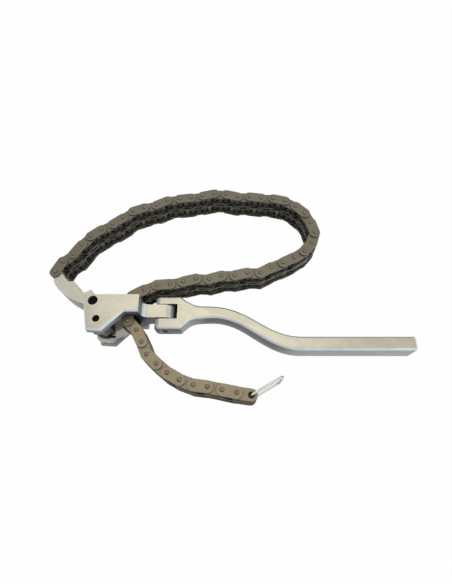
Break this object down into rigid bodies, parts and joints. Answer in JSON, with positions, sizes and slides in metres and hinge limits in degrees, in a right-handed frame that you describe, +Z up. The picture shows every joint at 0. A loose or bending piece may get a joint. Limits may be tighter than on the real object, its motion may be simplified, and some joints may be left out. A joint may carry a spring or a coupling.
{
  "type": "chain oil filter wrench",
  "caption": "Chain wrench for oil filters: forked head with pawl and chain arm, double-strand roller chain, swivel handle and pull ring.",
  "frame": {"origin": "middle of the head's flat underside, between the arm pin and the pawl pin, with the wrench lying on its side", "axes": "+X along the handle to its free end, +Y towards the chain's loop, +Z up through the head, along the chain's pins"},
  "size_m": [0.2588, 0.1671, 0.04],
  "materials": {
    "satin_steel": "satin plated, warm cream grey",
    "dark_pin": "dark oiled",
    "chain_plate": "brown-grey, lightly oiled",
    "chain_inner": "dark oiled",
    "black_spring": "black",
    "bright_wire": "bright wire"
  },
  "bodies": {
    "head": {"head_body": "satin_steel", "head_pins": "dark_pin", "seated_links": "chain_plate"},
    "handle": {"handle": "satin_steel"},
    "arm": {"chain_arm": "satin_steel"},
    "pawl": {"pawl": "satin_steel", "pawl_spring": "black_spring"},
    "ring": {"pull_ring": "bright_wire"},
    "loop_1": {"loop_link_01": "chain_plate", "loop_link_02": "chain_inner", "loop_link_03": "chain_plate", "loop_link_04": "chain_inner", "loop_link_05": "chain_plate", "loop_link_06": "chain_inner", "loop_link_07": "chain_plate"},
    "loop_2": {"loop_link_08": "chain_inner", "loop_link_09": "chain_plate", "loop_link_10": "chain_inner", "loop_link_11": "chain_plate", "loop_link_12": "chain_inner", "loop_link_13": "chain_plate"},
    "loop_3": {"loop_link_14": "chain_inner", "loop_link_15": "chain_plate", "loop_link_16": "chain_inner", "loop_link_17": "chain_plate", "loop_link_18": "chain_inner", "loop_link_19": "chain_plate"},
    "loop_4": {"loop_link_20": "chain_inner", "loop_link_21": "chain_plate", "loop_link_22": "chain_inner", "loop_link_23": "chain_plate", "loop_link_24": "chain_inner", "loop_link_25": "chain_plate"},
    "loop_5": {"loop_link_26": "chain_inner", "loop_link_27": "chain_plate", "loop_link_28": "chain_inner", "loop_link_29": "chain_plate", "loop_link_30": "chain_inner", "loop_link_31": "chain_plate", "loop_link_32": "chain_inner"},
    "loop_6": {"loop_link_33": "chain_plate", "loop_link_34": "chain_inner", "loop_link_35": "chain_plate", "loop_link_36": "chain_inner", "loop_link_37": "chain_plate", "loop_link_38": "chain_inner", "loop_link_39": "chain_plate", "loop_link_40": "chain_inner", "loop_link_41": "chain_plate"},
    "tail_01": {"tail_link_01": "chain_inner"},
    "tail_02": {"tail_link_02": "chain_plate"},
    "tail_03": {"tail_link_03": "chain_inner"},
    "tail_04": {"tail_link_04": "chain_plate"},
    "tail_05": {"tail_link_05": "chain_inner"},
    "tail_06": {"tail_link_06": "chain_plate"},
    "tail_07": {"tail_link_07": "chain_inner"},
    "tail_08": {"tail_link_08": "chain_plate"},
    "tail_09": {"tail_link_09": "chain_inner"},
    "tail_10": {"tail_link_10": "chain_plate"},
    "tail_11": {"tail_link_11": "chain_inner"}
  },
  "joints": [
    {"name": "handle_hinge", "type": "hinge", "parent": "head", "child": "handle", "pos_m": [0.0446, 0.00385, 0.02], "axis": [0, -1, 0], "range_deg": [-90, 90]},
    {"name": "arm_pivot", "type": "hinge", "parent": "head", "child": "arm", "pos_m": [-0.002, 0.0066, 0.02], "axis": [0, 0, 1], "range_deg": [-10, 10]},
    {"name": "pawl_pivot", "type": "hinge", "parent": "head", "child": "pawl", "pos_m": [0.002, -0.0066, 0.02], "axis": [0, 0, 1], "range_deg": [-2.5, 0], "stiffness_Nm_per_rad": 0.05, "springref_deg": 20.05},
    {"name": "loop_hinge_1", "type": "hinge", "parent": "arm", "child": "loop_1", "pos_m": [-0.0369, 0.0335, 0.02], "axis": [0, 0, 1], "range_deg": [-2.2, 2.2]},
    {"name": "loop_hinge_2", "type": "hinge", "parent": "loop_1", "child": "loop_2", "pos_m": [0.00778, 0.08112, 0.02], "axis": [0, 0, 1], "range_deg": [-6, 6]},
    {"name": "loop_hinge_3", "type": "hinge", "parent": "loop_2", "child": "loop_3", "pos_m": [0.06041, 0.10022, 0.02], "axis": [0, 0, 1], "range_deg": [-4.5, 4.5]},
    {"name": "loop_hinge_4", "type": "hinge", "parent": "loop_3", "child": "loop_4", "pos_m": [0.1167, 0.09973, 0.02], "axis": [0, 0, 1], "range_deg": [-3.8, 3.8]},
    {"name": "loop_hinge_5", "type": "hinge", "parent": "loop_4", "child": "loop_5", "pos_m": [0.15635, 0.06689, 0.02], "axis": [0, 0, 1], "range_deg": [-3.2, 3.2]},
    {"name": "loop_hinge_6", "type": "hinge", "parent": "loop_5", "child": "loop_6", "pos_m": [0.10434, 0.0324, 0.02], "axis": [0, 0, 1], "range_deg": [-1, 1]},
    {"name": "tail_hinge_01", "type": "hinge", "parent": "head", "child": "tail_01", "pos_m": [0.02071, -0.00455, 0.02], "axis": [0, 0, 1], "range_deg": [-25, 6]},
    {"name": "tail_hinge_02", "type": "hinge", "parent": "tail_01", "child": "tail_02", "pos_m": [0.02744, -0.01128, 0.02], "axis": [0, 0, 1], "range_deg": [-25, 6]},
    {"name": "tail_hinge_03", "type": "hinge", "parent": "tail_02", "child": "tail_03", "pos_m": [0.03191, -0.01969, 0.02], "axis": [0, 0, 1], "range_deg": [-25, 6]},
    {"name": "tail_hinge_04", "type": "hinge", "parent": "tail_03", "child": "tail_04", "pos_m": [0.03594, -0.02832, 0.02], "axis": [0, 0, 1], "range_deg": [-25, 6]},
    {"name": "tail_hinge_05", "type": "hinge", "parent": "tail_04", "child": "tail_05", "pos_m": [0.04302, -0.0347, 0.02], "axis": [0, 0, 1], "range_deg": [-25, 6]},
    {"name": "tail_hinge_06", "type": "hinge", "parent": "tail_05", "child": "tail_06", "pos_m": [0.05042, -0.04069, 0.02], "axis": [0, 0, 1], "range_deg": [-25, 8]},
    {"name": "tail_hinge_07", "type": "hinge", "parent": "tail_06", "child": "tail_07", "pos_m": [0.05875, -0.04531, 0.02], "axis": [0, 0, 1], "range_deg": [-25, 10]},
    {"name": "tail_hinge_08", "type": "hinge", "parent": "tail_07", "child": "tail_08", "pos_m": [0.0677, -0.04857, 0.02], "axis": [0, 0, 1], "range_deg": [-25, 12]},
    {"name": "tail_hinge_09", "type": "hinge", "parent": "tail_08", "child": "tail_09", "pos_m": [0.07716, -0.04973, 0.02], "axis": [0, 0, 1], "range_deg": [-25, 15]},
    {"name": "tail_hinge_10", "type": "hinge", "parent": "tail_09", "child": "tail_10", "pos_m": [0.0865, -0.05155, 0.02], "axis": [0, 0, 1], "range_deg": [-25, 15]},
    {"name": "tail_hinge_11", "type": "hinge", "parent": "tail_10", "child": "tail_11", "pos_m": [0.09585, -0.05336, 0.02], "axis": [0, 0, 1], "range_deg": [-25, 15]},
    {"name": "ring_hinge", "type": "hinge", "parent": "tail_11", "child": "ring", "pos_m": [0.10529, -0.05469, 0.02], "axis": [0, 0, 1], "range_deg": [-120, 50]}
  ],
  "couplings": [
    {"joint": "loop_hinge_1", "follows": "arm_pivot", "ratio": -0.18327},
    {"joint": "loop_hinge_2", "follows": "arm_pivot", "ratio": -0.56423},
    {"joint": "loop_hinge_3", "follows": "arm_pivot", "ratio": 0.41118},
    {"joint": "loop_hinge_4", "follows": "arm_pivot", "ratio": 0.34537},
    {"joint": "loop_hinge_5", "follows": "arm_pivot", "ratio": -0.28049},
    {"joint": "loop_hinge_6", "follows": "arm_pivot", "ratio": -0.069635}
  ]
}
